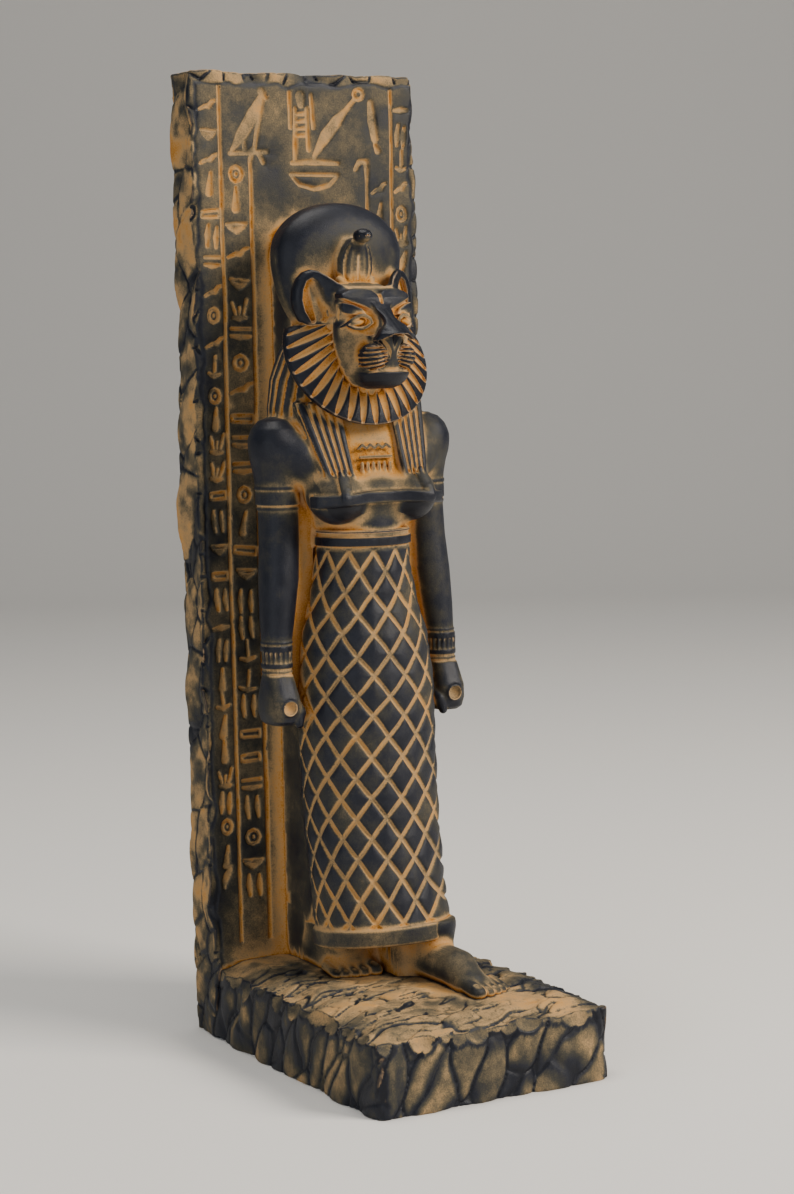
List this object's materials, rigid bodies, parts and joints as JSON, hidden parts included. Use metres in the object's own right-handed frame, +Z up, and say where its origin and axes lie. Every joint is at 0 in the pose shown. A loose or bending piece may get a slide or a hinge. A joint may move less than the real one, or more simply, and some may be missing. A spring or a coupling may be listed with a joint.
{
  "type": "standing goddess statue",
  "caption": "Cast-stone statue of a lioness-headed standing goddess in a netted skirt, before a rough-edged upright slab on a rough base, cast in one piece.",
  "frame": {"origin": "on the resting plane, under the middle of the whole casting's bounding box", "axes": "+Z up, the figure faces -Y, +X is to the right of someone who looks at the figure's front"},
  "size_m": [0.0933, 0.1383, 0.3497],
  "materials": {
    "dark_cast_stone": "dry satin, with ochre pigment left in the recesses"
  },
  "bodies": {
    "root": {"sekhmet_statue": "dark_cast_stone"}
  },
  "joints": []
}
